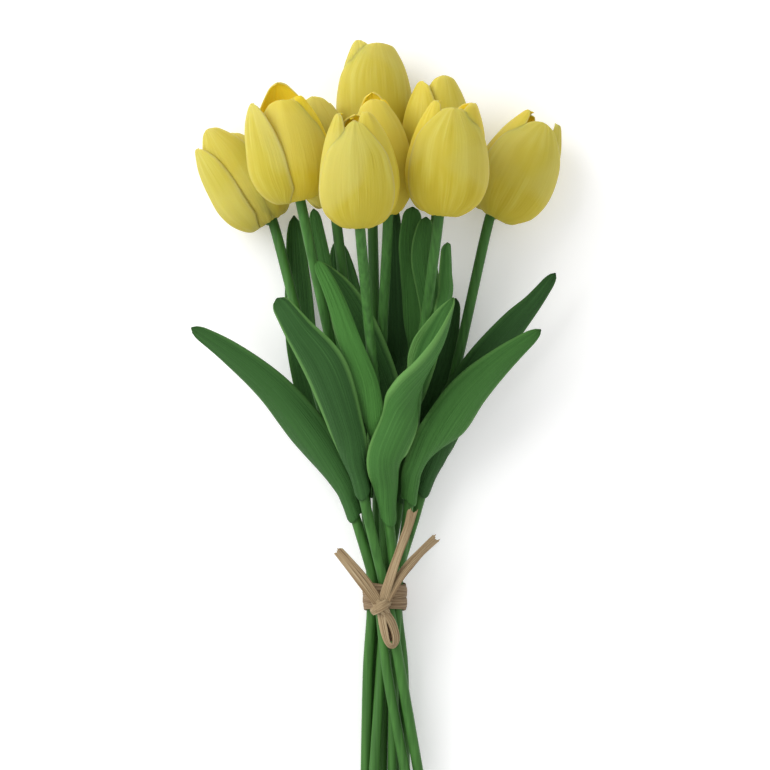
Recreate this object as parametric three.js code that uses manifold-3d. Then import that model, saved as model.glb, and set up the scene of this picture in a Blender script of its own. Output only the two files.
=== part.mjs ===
// A bunch of nine tulips tied with raffia, lying on a flat surface.
// X runs to the right and Y from the cut stem ends to the blooms, Z is up, and lengths are in millimetres.
// The origin lies on the surface, under the middle of the bunch.

import * as THREE from 'three'
import { mergeVertices } from 'three/addons/utils/BufferGeometryUtils.js'
import Module from 'manifold-3d'

const wasm = await Module()
wasm.setup()

// Driving dimensions
const MIDDLE = [-0.6, 2.0, 0]
const GROUND = [500, 600, 20]
const SEAT_GAP = 0.3
const STEM_RADIUS = 2.5
const STEM_SIDES = 8
const STEM_STEPS = 13
const STEM_NECK = 7

const PETAL_THICKNESS = 1.1
const PETAL_ROWS = 5
const PETAL_COLUMNS = 4
const PETAL_SPREAD = 1.0
const PETAL_CLOSING = 0.15
const INNER_PETAL_INSET = 2.2
const INNER_PETAL_HEIGHT = 0.97
const INNER_PETAL_LIFT = 0.9
const BLOOM_FLATTENING = 0.84
const RECEPTACLE_RADIUS = 4.4
const RECEPTACLE_HEIGHT = 4.5

const LEAF_THICKNESS = 1.0
const LEAF_ROWS = 9
const LEAF_COLUMNS = 7
const SHEATH_CLEARANCE = 0.6
const SHEATH_LENGTH = 9.7
const SHEATH_WRAP = 2.95
const SHEATH_FLARE = 0.6
const SHEATH_MOUTH = 6.2
const SHEATH_TONGUE = 0.05
const TIP_START = 0.95
const TIP_LEAST = 0.25

const TIE = new THREE.Vector3(4.1, -88, 15.8)
const BAND_HALF_WIDTH = 9.6
const BAND_HALF_DEPTH = 12.6
const BAND_LENGTH = 13.6
const RAFFIA_THICKNESS = 0.8
const RAFFIA_HALF_WIDTH = 2.4

const STEM_GREEN = '#42733a'
const LEAF_GREEN = '#2f6b2b'
const PETAL_YELLOW = '#e6d765'
const RAFFIA_TAN = '#bea07d'
const STEM_ROUGHNESS = 0.55
const SOFT_ROUGHNESS = 0.6
const RAFFIA_ROUGHNESS = 0.75

// A petal from its root to its tip: distance from the bloom's axis, height and half width,
// as parts of the bloom's radius, its height and the petal's greatest half width
const PETAL_PROFILE = [
  [0.12, 0.03, 0.16],
  [0.50, -0.02, 0.50],
  [0.84, 0.11, 0.84],
  [1.00, 0.30, 1.00],
  [0.97, 0.52, 0.98],
  [0.80, 0.76, 0.80],
  [0.56, 0.94, 0.46],
  [0.44, 1.00, 0.14],
]

// The course of each stem from its cut end past the tie and the leaf sheaths to its top.
// The bloom on top leans to the right and rises from the surface by the given degrees,
// and its first outer petal stands at the given turn around the bloom's axis.
const TULIPS = [
  {
    stem: [
      [15.1, -179, 16.2], [5.2, -125, 20.8], [0.5, -88, 21.4],
      [-11.4, -46, 21.5], [-28.5, 10, 20], [-52.1, 93.5, 15.4],
    ],
    radius: 18.8, height: 52, lean: -31, rise: 1, turn: 90,
  },
  {
    stem: [
      [21.8, -182, 15], [11.8, -125, 23], [4.9, -88, 24.4],
      [-4.8, -46, 30.5], [-16.8, 10, 40], [-36.4, 103, 59.2],
    ],
    radius: 20.8, height: 54.5, lean: -11, rise: 6, turn: 80,
  },
  {
    stem: [
      [-5.4, -181, 9.5], [-4.2, -125, 12], [-2.2, -88, 16.1],
      [-5, -46, 15.5], [-9.5, 10, 20.5], [-20.7, 101, 31.8],
    ],
    radius: 15, height: 54, lean: -10, rise: 4, turn: 60,
  },
  {
    stem: [
      [-3, -181, 2], [-1.9, -125, 6.3], [-0.9, -88, 10.9],
      [0.5, -46, 9], [0, 10, 10], [-2.4, 121, 15.1],
    ],
    radius: 18.9, height: 58.5, lean: 0, rise: 2, turn: 30,
  },
  {
    stem: [
      [7.6, -184, 11], [8.4, -125, 15.2], [9.5, -88, 21.2],
      [5.4, -46, 29], [-0.5, 10, 39], [-7.6, 90.5, 81],
    ],
    radius: 21.2, height: 53, lean: -2, rise: 8, turn: 100,
  },
  {
    stem: [
      [-1.7, -180, 14.5], [2, -125, 13.7], [4.1, -88, 15.8],
      [3.6, -46, 19.5], [1.8, 10, 23.5], [4.6, 97, 45],
    ],
    radius: 15, height: 56.5, lean: -7, rise: 6, turn: 45,
  },
  {
    stem: [
      [2.6, -178, 3.4], [3.4, -125, 5], [3.3, -88, 7.5],
      [10.5, -46, 9.5], [18, 10, 16], [29.5, 106, 29.5],
    ],
    radius: 18.4, height: 55, lean: 2, rise: 3, turn: 0,
  },
  {
    stem: [
      [13.8, -183, 9], [13, -125, 10], [9.9, -88, 15.6],
      [15.2, -46, 22], [19.5, 10, 33], [30, 97, 61.5],
    ],
    radius: 20.5, height: 54.5, lean: 6, rise: 8, turn: 70,
  },
  {
    stem: [
      [8.8, -180, 4.6], [8.6, -125, 6], [8, -88, 9.8],
      [19.6, -46, 14], [35.5, 10, 16.5], [56.8, 96.3, 16.6],
    ],
    radius: 20.3, height: 52.5, lean: 28, rise: 1, turn: 85,
  },
]

// Each leaf wraps its tulip's stem from the given height up, with its rib on the given side of it.
// Above the sheath the rib passes the listed points, where the blade's hollow faces the given way
// and the blade has the given half width and hollow radius.
const LEAVES = [
  {
    name: 'tulip_1_leaf', tulip: 1, rim: -52, side: [-0.6, 0, 0.8],
    rib: [[-34.6, -9.4, 30], [-50.4, 11.2, 34], [-70.3, 28.6, 35], [-89, 41.5, 32]],
    facing: [[0.4, 0.1, -0.9], [0.3, 0.3, -0.9], [0.2, 0.4, -0.9], [0.1, 0.3, -0.95]],
    width: [12.2, 9.5, 6.6, 2.8], hollow: [12, 14, 12, 8],
  },
  {
    name: 'tulip_2_leaf', tulip: 2, rim: -41, side: [-0.3, 0, 1],
    rib: [[-14.2, -8.6, 45.5], [-24.4, 20.8, 58.5], [-37.8, 40.7, 61.5], [-47.5, 55.2, 59]],
    facing: [[0.1, 0, -1], [0.15, 0.1, -1], [0.1, 0.1, -1], [0.1, 0.1, -1]],
    width: [9.5, 11.2, 7.4, 4.5], hollow: [11, 16, 12, 8],
  },
  {
    name: 'tulip_3_lower_leaf', tulip: 3, rim: -44, side: [-0.6, 0, -0.8],
    rib: [[-26, -6, 11], [-35.5, 30, 8.5], [-38, 62, 7], [-40, 96, 9]],
    facing: [[0.1, 0, 1], [0.1, 0, 1], [0, 0, 1], [0, 0, 1]],
    width: [8, 8, 6.5, 3.2], hollow: [24, 24, 20, 10],
  },
  {
    name: 'tulip_3_upper_leaf', tulip: 3, rim: 2, side: [-0.7, 0, 0.7],
    rib: [[-19, 42, 30], [-23.2, 60, 34], [-27, 79, 35.5], [-30.2, 98.5, 37]],
    facing: [[0.1, 0, -1], [0.1, 0, -1], [0.1, 0, -1], [0.1, 0, -1]],
    width: [4.6, 4.2, 4, 2.6], hollow: [12, 14, 14, 8],
  },
  {
    name: 'tulip_4_lower_leaf', tulip: 4, rim: -32, side: [-0.85, 0, -0.5],
    rib: [[-11, 12, 5.5], [-13.5, 34, 8.5], [-15.5, 60, 12], [-19, 84, 16]],
    facing: [[0, 0, 1], [0, 0, 1], [0, 0, 1], [0, 0, 1]],
    width: [6.5, 7.5, 7.8, 3.4], hollow: [24, 24, 20, 10],
  },
  {
    name: 'tulip_4_upper_leaf', tulip: 4, rim: -8, side: [0.9, 0, -0.4],
    rib: [[10, 30, 9.3], [9.4, 55, 12], [8.6, 78, 15], [8.2, 101, 17]],
    facing: [[-0.1, 0, 1], [0, 0, 1], [0, 0, 1], [0, 0, 1]],
    width: [6, 5.6, 4.8, 2.6], hollow: [24, 24, 20, 10],
  },
  {
    name: 'tulip_7_top_leaf', tulip: 7, rim: 16, side: [-0.3, 0, 0.95],
    rib: [[18.4, 53, 28], [17.6, 68, 30], [16.6, 83, 32], [17.3, 99.5, 34]],
    facing: [[0.1, 0, -1], [0.1, 0, -1], [0, 0, -1], [0, 0, -1]],
    width: [6.4, 6.5, 6, 4], hollow: [12, 14, 14, 10],
  },
  {
    name: 'tulip_5_lower_leaf', tulip: 5, rim: -54, side: [0.3, 0, 1],
    rib: [
      [5, -21, 45.5], [11.4, -5, 50], [18.8, 9, 54], [25.6, 22, 57], [31.2, 34.5, 59.5],
      [36.8, 55.5, 62],
    ],
    facing: [
      [-0.1, 0, -1], [-0.15, 0.05, -1], [-0.7, 0.4, -0.35], [-0.85, 0.5, 0.2], [-0.8, 0.5, 0.4],
      [-0.8, 0.5, 0.5],
    ],
    width: [10.8, 12.4, 15, 16.6, 15, 4], hollow: [11, 9.4, 9.6, 10.4, 10.2, 6],
  },
  {
    name: 'tulip_5_upper_leaf', tulip: 5, rim: -24, side: [-0.6, 0, 0.8],
    rib: [[-5.2, 14, 49.3], [-12.4, 34, 56], [-20, 55.7, 59], [-28.2, 73, 61]],
    facing: [[0.2, 0, -1], [0.1, 0, -1], [0, 0, -1], [0, 0, -1]],
    width: [6.4, 5.5, 4.3, 2.8], hollow: [10, 12, 12, 8],
  },
  {
    name: 'tulip_6_leaf', tulip: 6, rim: -43, side: [0, 0, 1],
    rib: [[4, 6, 29.5], [-6.5, 33, 37], [-17, 56, 40], [-27.5, 73, 41]],
    facing: [[0, 0, -1], [0, 0, -1], [0, 0, -1], [0, 0, -1]],
    width: [9, 11, 8.5, 1.8], hollow: [24, 24, 24, 10],
  },
  {
    name: 'tulip_7_lower_leaf', tulip: 7, rim: -46, side: [0.6, 0, -0.8],
    rib: [[22, -6, 6.5], [29.5, 18, 7], [35, 38, 8], [38.4, 56, 9.5]],
    facing: [[-0.2, 0, 1], [-0.1, 0, 1], [-0.1, 0, 1], [0, 0, 1]],
    width: [8.4, 8, 5, 2.5], hollow: [24, 30, 20, 10],
  },
  {
    name: 'tulip_7_upper_leaf', tulip: 7, rim: -10, side: [-0.3, 0, 0.95],
    rib: [[23.5, 30, 31.5], [26.2, 48, 35.5], [22.4, 75, 38.5], [23.8, 94.5, 41]],
    facing: [[0.1, 0, -1], [0.2, 0, -1], [0.1, 0, -1], [0, 0, -1]],
    width: [6.5, 5.8, 6.4, 3.4], hollow: [14, 14, 12, 8],
  },
  {
    name: 'tulip_8_lower_leaf', tulip: 8, rim: -44, side: [0.85, 0, 0.5],
    rib: [[33.2, -6.2, 37], [45.6, 10.8, 42], [61, 26, 44], [78.8, 40.5, 42]],
    facing: [[-0.15, 0.1, -1], [-0.2, 0.2, -0.95], [-0.2, 0.3, -0.95], [-0.1, 0.3, -0.95]],
    width: [11.8, 10.4, 7, 2.5], hollow: [12, 13, 12, 8],
  },
  {
    name: 'tulip_8_upper_leaf', tulip: 8, rim: 22, side: [0.95, 0, -0.3],
    rib: [[33.8, 56, 44.5], [34.5, 68, 46], [34, 82, 48]],
    facing: [[-0.6, 0, -0.8], [-0.7, 0, -0.7], [-0.7, 0, -0.7]],
    width: [5, 5, 3.2], hollow: [4.6, 3.8, 3.4],
  },
  {
    name: 'tulip_9_leaf', tulip: 9, rim: -40, side: [0.5, 0, 0.85],
    rib: [[35.5, -2, 19.5], [49.3, 22, 24.3], [65.3, 41.8, 26.3], [75.9, 53.8, 26.5], [86.2, 67.8, 26]],
    facing: [
      [-0.2, 0.1, -1], [-0.2, 0.2, -0.95], [-0.2, 0.2, -0.95], [-0.2, 0.3, -0.95],
      [-0.1, 0.3, -0.95],
    ],
    width: [9.8, 8.8, 7.2, 4.8, 2.4], hollow: [13, 14, 13, 10, 8],
  },
]

// The knot on the front of the raffia band, and the strips that leave it.
// Each strip's middle passes the listed points, with its flat side facing the given way there.
const KNOT = {
  at: [2.2, -92.6, 32.2],
  half: [4, 3.6, 2.6],
}
const STRIPS = [
  {
    middle: [[2.2, -92.6, 32.3], [-5.5, -81.5, 32.3], [-12.7, -72.5, 31.3], [-19.6, -64.5, 29.3]],
    facing: [[0, 0, 1], [0.2, 0.1, 1], [0.1, 0, 1], [0, 0, 1]],
  },
  {
    middle: [
      [2.6, -91.5, 32.3], [6.5, -79, 32.8], [11, -66, 33.3], [15, -55, 34.3], [17.8, -44.5, 35.8],
    ],
    facing: [[0, 0, 1], [-0.5, 0.2, 1], [-0.5, 0.2, 1], [0.2, 0, 1], [0, 0, 1]],
  },
  {
    middle: [[3, -92.2, 32.3], [11.5, -78, 32.3], [20.9, -66.9, 30.8], [29.8, -58.6, 28.8]],
    facing: [[0, 0, 1], [-0.4, 0.4, 1], [0.2, -0.2, 1], [0, 0, 1]],
  },
  {
    middle: [
      [1.8, -94, 32.1], [3.4, -103, 31.3], [5.4, -110, 30.7], [8.2, -111.4, 30.5],
      [9.4, -107.5, 30.9], [7.2, -100, 31.5], [3, -94, 32.3],
    ],
    facing: [
      [-1, 0, 0.6], [-1, -0.2, 0.6], [-0.8, -0.9, 0.5], [0.7, -0.9, 0.5],
      [1, 0, 0.6], [1, 0, 0.6], [1, 0, 0.6],
    ],
  },
]

// Smooth value at t from 0 to 1 through evenly spaced rows of numbers
function through(rows, t) {
  const last = rows.length - 1
  const place = Math.min(Math.max(t, 0), 1) * last
  const cell = Math.min(Math.floor(place), last - 1)
  const f = place - cell
  const at = (i, c) => {
    if (i < 0) return 2 * rows[0][c] - rows[1][c]
    if (i > last) return 2 * rows[last][c] - rows[last - 1][c]
    return rows[i][c]
  }
  return rows[0].map((_, c) => {
    const [a, b, d, e] = [at(cell - 1, c), at(cell, c), at(cell + 1, c), at(cell + 2, c)]
    return b + 0.5 * f * (d - a + f * (2 * a - 5 * b + 4 * d - e + f * (3 * (b - d) + e - a)))
  })
}

function vector(numbers) {
  return new THREE.Vector3(numbers[0], numbers[1], numbers[2])
}

// A closed solid of the given thickness along the surface point(t, s), with t from 0 to 1
// and s from -1 to 1. Both faces are split into triangles alike.
function sheet(point, rows, columns, thickness) {
  const grid = []
  for (let i = 0; i <= rows; i++) {
    for (let j = 0; j <= columns; j++) grid.push(point(i / rows, 2 * j / columns - 1))
  }
  const across = columns + 1
  const at = (i, j) => grid[Math.min(Math.max(i, 0), rows) * across + Math.min(Math.max(j, 0), columns)]
  const positions = []
  for (const side of [0.5, -0.5]) {
    for (let i = 0; i <= rows; i++) {
      for (let j = 0; j <= columns; j++) {
        const along = at(i + 1, j).clone().sub(at(i - 1, j))
        const over = at(i, j + 1).clone().sub(at(i, j - 1))
        const normal = along.cross(over).normalize().multiplyScalar(side * thickness)
        positions.push(...at(i, j).clone().add(normal).toArray())
      }
    }
  }
  const under = grid.length
  const index = []
  const quad = (a, b, c, d) => index.push(a, b, c, a, c, d)
  for (let i = 0; i < rows; i++) {
    for (let j = 0; j < columns; j++) {
      const a = i * across + j
      quad(a, a + across, a + across + 1, a + 1)
      index.push(under + a, under + a + across + 1, under + a + across)
      index.push(under + a, under + a + 1, under + a + across + 1)
    }
  }
  for (let i = 0; i < rows; i++) {
    const left = i * across
    const right = left + columns
    quad(left, left + under, left + across + under, left + across)
    quad(right + across, right + across + under, right + under, right)
  }
  for (let j = 0; j < columns; j++) {
    const low = j
    const high = rows * across + j
    quad(low + 1, low + 1 + under, low + under, low)
    quad(high, high + under, high + 1 + under, high + 1)
  }
  const geometry = new THREE.BufferGeometry()
  geometry.setAttribute('position', new THREE.Float32BufferAttribute(positions, 3))
  geometry.setIndex(index)
  return geometry
}

// Solids that can be joined and cut, and the geometry of the result
function solidOf(geometry) {
  const plain = geometry.clone()
  plain.deleteAttribute('normal')
  plain.deleteAttribute('uv')
  const welded = mergeVertices(plain, 1e-4)
  return new wasm.Manifold(new wasm.Mesh({
    numProp: 3,
    vertProperties: Float32Array.from(welded.attributes.position.array),
    triVerts: Uint32Array.from(welded.index.array),
  }))
}

function join(geometries) {
  return geometries.map(solidOf).reduce((whole, piece) => whole.add(piece))
}

// The largest closed surface of a solid: hollows that joining sealed are filled and loose scraps dropped
function mainBody(solid) {
  const mesh = solid.getMesh()
  const positions = Array.from(mesh.vertProperties)
  const welded = new Map()
  const parent = []
  const find = (v) => {
    while (parent[v] !== v) v = parent[v]
    return v
  }
  const corners = Array.from(mesh.triVerts, (v) => {
    const key = positions.slice(3 * v, 3 * v + 3).join()
    if (!welded.has(key)) {
      welded.set(key, v)
      parent[v] = v
    }
    return welded.get(key)
  })
  for (let i = 0; i < corners.length; i += 3) {
    parent[find(corners[i])] = find(corners[i + 1])
    parent[find(corners[i + 1])] = find(corners[i + 2])
  }
  const corner = (v) => vector(positions.slice(3 * v, 3 * v + 3))
  const volumes = new Map()
  for (let i = 0; i < corners.length; i += 3) {
    const [a, b, c] = corners.slice(i, i + 3).map(corner)
    const body = find(corners[i])
    volumes.set(body, (volumes.get(body) ?? 0) + a.dot(b.cross(c)) / 6)
  }
  const largest = [...volumes].reduce((best, one) => (one[1] > best[1] ? one : best))[0]
  const kept = []
  for (let i = 0; i < corners.length; i += 3) {
    if (find(corners[i]) === largest) kept.push(...corners.slice(i, i + 3))
  }
  const geometry = new THREE.BufferGeometry()
  geometry.setAttribute('position', new THREE.Float32BufferAttribute(positions, 3))
  geometry.setIndex(kept)
  return geometry
}

function mesh(name, geometry, color, roughness) {
  const material = new THREE.MeshStandardMaterial({ color, roughness, metalness: 0 })
  const made = new THREE.Mesh(geometry, material)
  made.name = name
  return made
}

// The space under the surface that the bunch lies on
function ground() {
  return new THREE.BoxGeometry(...GROUND).translate(0, 0, -GROUND[2] / 2)
}

// The direction of a bloom's axis, which the top of its stem follows too
function bloomAxis(tulip) {
  const lean = THREE.MathUtils.degToRad(tulip.lean)
  const rise = THREE.MathUtils.degToRad(tulip.rise)
  return new THREE.Vector3(Math.sin(lean), Math.cos(lean), Math.tan(rise)).normalize()
}

// Stems
function stemCurve(tulip) {
  const points = tulip.stem.map(vector)
  points.splice(-1, 0, points.at(-1).clone().addScaledVector(bloomAxis(tulip), -STEM_NECK))
  return new THREE.CatmullRomCurve3(points, false, 'catmullrom', 0.5)
}

function stem(tulip, number) {
  const outline = new THREE.Shape()
  for (let i = 0; i < STEM_SIDES; i++) {
    const turn = 2 * Math.PI * i / STEM_SIDES
    const [x, y] = [STEM_RADIUS * Math.cos(turn), STEM_RADIUS * Math.sin(turn)]
    if (i) outline.lineTo(x, y)
    else outline.moveTo(x, y)
  }
  const swept = new THREE.ExtrudeGeometry(outline, {
    steps: STEM_STEPS,
    bevelEnabled: false,
    extrudePath: stemCurve(tulip),
  })
  const cut = solidOf(swept).subtract(solidOf(ground()))
  return mesh(`tulip_${number}_stem`, mainBody(cut), STEM_GREEN, STEM_ROUGHNESS)
}

// Blooms: three outer petals over three inner ones, all rooted in the receptacle on the stem's top
function petalPoint(tulip, turn, inner, t, s) {
  const [out, up, wide] = through(PETAL_PROFILE, t)
  const radius = tulip.radius - (inner ? INNER_PETAL_INSET : 0)
  const height = tulip.height * (inner ? INNER_PETAL_HEIGHT : 1)
  const bend = radius * out
  const angle = s * wide * PETAL_SPREAD * Math.min(1, out + PETAL_CLOSING) / out
  const x = bend * Math.cos(angle)
  const y = bend * Math.sin(angle)
  return new THREE.Vector3(
    x * Math.cos(turn) - y * Math.sin(turn),
    (x * Math.sin(turn) + y * Math.cos(turn)) * BLOOM_FLATTENING,
    height * up + (inner ? INNER_PETAL_LIFT : 0),
  )
}

function bloom(tulip, number) {
  const receptacle = new THREE.LatheGeometry([
    new THREE.Vector2(0, 0),
    new THREE.Vector2(RECEPTACLE_RADIUS * 0.8, 0),
    new THREE.Vector2(RECEPTACLE_RADIUS, RECEPTACLE_HEIGHT * 0.5),
    new THREE.Vector2(RECEPTACLE_RADIUS * 0.6, RECEPTACLE_HEIGHT),
    new THREE.Vector2(0, RECEPTACLE_HEIGHT),
  ], 8).rotateX(Math.PI / 2)
  const pieces = [receptacle]
  for (let k = 0; k < 6; k++) {
    const turn = THREE.MathUtils.degToRad(tulip.turn + 60 * k)
    const point = (t, s) => petalPoint(tulip, turn, k % 2 === 1, t, s)
    pieces.push(sheet(point, PETAL_ROWS, PETAL_COLUMNS, PETAL_THICKNESS))
  }
  const axis = bloomAxis(tulip)
  const right = new THREE.Vector3(axis.y, -axis.x, 0).normalize()
  const placed = new THREE.Matrix4().makeBasis(right, axis.clone().cross(right), axis)
  placed.setPosition(vector(tulip.stem.at(-1)).addScaledVector(axis, SEAT_GAP))
  const groundHere = ground().applyMatrix4(placed.clone().invert())
  const cut = join(pieces).subtract(solidOf(groundHere))
  const made = mesh(`tulip_${number}_bloom`, mainBody(cut), PETAL_YELLOW, SOFT_ROUGHNESS)
  made.applyMatrix4(placed)
  return made
}

// Leaves: a sheath rolled round the stem that opens into a hollow blade
function stemAtHeight(curve, height) {
  let [low, high] = [0, 1]
  for (let i = 0; i < 24; i++) {
    const middle = (low + high) / 2
    if (curve.getPoint(middle).y < height) low = middle
    else high = middle
  }
  return { at: curve.getPoint(low), along: curve.getTangent(low) }
}

function leaf(spec) {
  const curve = stemCurve(TULIPS[spec.tulip - 1])
  const sheathRadius = STEM_RADIUS + SHEATH_CLEARANCE + LEAF_THICKNESS / 2
  const wrap = sheathRadius * SHEATH_WRAP
  const rows = [0, 1, 2].map((step) => {
    const { at, along } = stemAtHeight(curve, spec.rim + step * SHEATH_LENGTH)
    const side = vector(spec.side).projectOnPlane(along).normalize()
    const radius = step < 2 ? sheathRadius + SHEATH_FLARE * step : SHEATH_MOUTH
    const rib = at.clone().addScaledVector(side, radius)
    const width = step < 2 ? wrap : (wrap + spec.width[0]) / 2
    return [...rib.toArray(), ...side.negate().toArray(), width, radius]
  })
  spec.rib.forEach((rib, i) => {
    rows.push([...rib, ...vector(spec.facing[i]).normalize().toArray(), spec.width[i], spec.hollow[i]])
  })
  const point = (blade, s) => {
    const t = blade + SHEATH_TONGUE * Math.min(1, 4 * s * s) * (1 - blade) ** 6
    const row = through(rows, t)
    const here = vector(row)
    const along = vector(through(rows, t + 0.01)).sub(vector(through(rows, t - 0.01))).normalize()
    const facing = vector(row.slice(3)).projectOnPlane(along).normalize()
    const over = along.clone().cross(facing)
    const rounding = Math.sqrt(1 - (Math.max(t - TIP_START, 0) / (1 - TIP_START)) ** 2)
    const angle = s * row[6] * Math.max(rounding, TIP_LEAST) / row[7]
    here.addScaledVector(facing, row[7] * (1 - Math.cos(angle)))
    return here.addScaledVector(over, row[7] * Math.sin(angle))
  }
  const blade = sheet(point, LEAF_ROWS, LEAF_COLUMNS, LEAF_THICKNESS)
  return mesh(spec.name, blade, LEAF_GREEN, SOFT_ROUGHNESS)
}

// Raffia
function raffiaBand() {
  const half = BAND_LENGTH / 2
  const outline = [
    [0, -half], [0.8, -half], [1.1, -half * 0.6], [0.7, -half * 0.25], [1.1, 0],
    [0.7, half * 0.35], [1.0, half * 0.7], [0.6, half], [0, half], [0, -half],
  ]
  const profile = outline.map(([out, up]) => new THREE.Vector2(BAND_HALF_WIDTH + out, up))
  const band = new THREE.LatheGeometry(profile, 20)
  band.scale(1, 1, BAND_HALF_DEPTH / BAND_HALF_WIDTH)
  const made = mesh('raffia_band', mainBody(solidOf(band)), RAFFIA_TAN, RAFFIA_ROUGHNESS)
  made.position.copy(TIE)
  return made
}

function raffiaStrip(strip) {
  const rows = strip.middle.map((middle, i) => [...middle, ...strip.facing[i]])
  const point = (t, s) => {
    const row = through(rows, t)
    const along = vector(through(rows, t + 0.01)).sub(vector(through(rows, t - 0.01))).normalize()
    const over = along.clone().cross(vector(row.slice(3))).normalize()
    return vector(row).addScaledVector(over, s * RAFFIA_HALF_WIDTH)
  }
  return sheet(point, 2 * (rows.length - 1), 2, RAFFIA_THICKNESS)
}

function raffiaKnot() {
  const knot = new THREE.SphereGeometry(1, 8, 5).scale(...KNOT.half).translate(...KNOT.at)
  const tied = join([knot, ...STRIPS.map(raffiaStrip)])
  return mesh('raffia_knot', mainBody(tied), RAFFIA_TAN, RAFFIA_ROUGHNESS)
}

const bunch = new THREE.Group()
bunch.position.set(...MIDDLE)
TULIPS.forEach((tulip, i) => bunch.add(stem(tulip, i + 1), bloom(tulip, i + 1)))
LEAVES.forEach((spec) => bunch.add(leaf(spec)))
bunch.add(raffiaBand(), raffiaKnot())

export default bunch
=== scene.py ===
# %% [markdown]
# A bunch of nine yellow tulips, tied with raffia and lying on a pale surface.
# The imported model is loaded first. It is the measure for everything here: each piece is made
# in metres in the same frame, in the place of the plain solid that it stands for.

# %% The model's frame
import math

import bpy
import numpy as np
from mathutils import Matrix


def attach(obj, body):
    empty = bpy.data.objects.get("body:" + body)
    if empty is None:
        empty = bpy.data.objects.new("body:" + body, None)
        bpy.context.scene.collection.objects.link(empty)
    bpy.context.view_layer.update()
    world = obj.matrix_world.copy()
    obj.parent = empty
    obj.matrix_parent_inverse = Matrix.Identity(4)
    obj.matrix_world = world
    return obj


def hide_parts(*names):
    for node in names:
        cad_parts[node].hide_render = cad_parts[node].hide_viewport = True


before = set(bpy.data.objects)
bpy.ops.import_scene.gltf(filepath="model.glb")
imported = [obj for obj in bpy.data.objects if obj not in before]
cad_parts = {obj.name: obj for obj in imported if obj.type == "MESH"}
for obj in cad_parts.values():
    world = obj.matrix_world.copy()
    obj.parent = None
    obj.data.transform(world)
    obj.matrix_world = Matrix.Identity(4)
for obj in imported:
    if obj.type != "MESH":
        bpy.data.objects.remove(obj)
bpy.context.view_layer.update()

MM = 0.001
BODY = "root"

# %% [markdown]
# The camera hangs straight above the bunch, with the blooms at the top of the picture. A long lens
# from far away keeps the near blooms from looking larger than the far ones. Its values are in
# millimetres: the view's width is the one at the height of the bunch's middle, and its centre is
# right below the camera.

# %% Camera
VIEW_WIDTH = 369.6
VIEW_CENTRE = (3.5, 15.9)
VIEW_LEVEL = 35
CAMERA_HEIGHT = 3000
SENSOR_WIDTH = 36
FARTHEST_SEEN = 30000

camera_data = bpy.data.cameras.new("camera")
camera_data.sensor_width = SENSOR_WIDTH
camera_data.lens = SENSOR_WIDTH * (CAMERA_HEIGHT - VIEW_LEVEL) / VIEW_WIDTH
camera_data.clip_end = FARTHEST_SEEN * MM
camera = bpy.data.objects.new("camera", camera_data)
camera.location = (VIEW_CENTRE[0] * MM, VIEW_CENTRE[1] * MM, CAMERA_HEIGHT * MM)
bpy.context.scene.collection.objects.link(camera)
bpy.context.scene.camera = camera
print("lens", round(camera_data.lens), "mm")

# %% [markdown]
# A wide pale floor, a bright even sky and three large soft lamps stand in for a white studio.
# The largest lamp is beyond the blooms and to the left. Its size keeps the shadows soft, and the
# sky fills them. The floor gives off a little light of its own, as a lit table does, which keeps
# the shadows pale.

# %% Floor and light
FLOOR_SIZE = 14
PALE_FLOOR = {
    "Base Color": (0.96, 0.96, 0.96, 1), "Roughness": 0.8,
    "Emission Color": (1, 1, 1, 1), "Emission Strength": 0.17,
}
EVEN_SKY = {"Color": (1, 1, 1, 1), "Strength": 0.68}
LAMPS = {
    "main_lamp": {"at": (-1.5, 0.9, 1.25), "size": 2.0, "power": 41},
    "side_lamp": {"at": (1.2, 0.2, 0.9), "size": 1.0, "power": 1},
    "low_lamp": {"at": (0.1, -1.3, 1.1), "size": 1.1, "power": 4},
}


def link(obj):
    bpy.context.scene.collection.objects.link(obj)
    return obj


def mesh_object(name, points, faces):
    mesh = bpy.data.meshes.new(name)
    mesh.from_pydata([tuple(p) for p in points], [], [tuple(f) for f in faces])
    mesh.update()
    return link(bpy.data.objects.new(name, mesh))


def material(name):
    made = bpy.data.materials.new(name)
    made.use_nodes = True
    return made, made.node_tree.nodes["Principled BSDF"]


def set_sockets(shader, values):
    for name, value in values.items():
        shader.inputs[name].default_value = value


half = FLOOR_SIZE / 2
corners = [(-half, -half, 0), (half, -half, 0), (half, half, 0), (-half, half, 0)]
floor = mesh_object("floor", corners, [(0, 1, 2, 3)])
floor_paint, floor_shader = material("pale_floor")
set_sockets(floor_shader, PALE_FLOOR)
floor.data.materials.append(floor_paint)

world = bpy.data.worlds.new("studio")
world.use_nodes = True
set_sockets(world.node_tree.nodes["Background"], EVEN_SKY)
bpy.context.scene.world = world
bpy.context.scene.view_settings.view_transform = "Standard"

for name, lamp in LAMPS.items():
    data = bpy.data.lights.new(name, "AREA")
    data.energy = lamp["power"]
    data.size = lamp["size"]
    lit = link(bpy.data.objects.new(name, data))
    lit.location = lamp["at"]
    lit.rotation_mode = "QUATERNION"
    lit.rotation_quaternion = lit.location.to_track_quat("Z", "Y")
print("floor", FLOOR_SIZE, "m wide under", len(LAMPS), "lamps")

# %% [markdown]
# Every course and outline here is a smooth curve through a few rows of numbers.
# A Catmull-Rom curve passes through each row, so a row is easy to read as a real place or size.
# The places are in millimetres, with the middle of the bunch moved to the frame's origin.

# %% Smooth curves through rows
MIDDLE = np.array([-0.6, 2.0, 0])


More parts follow.
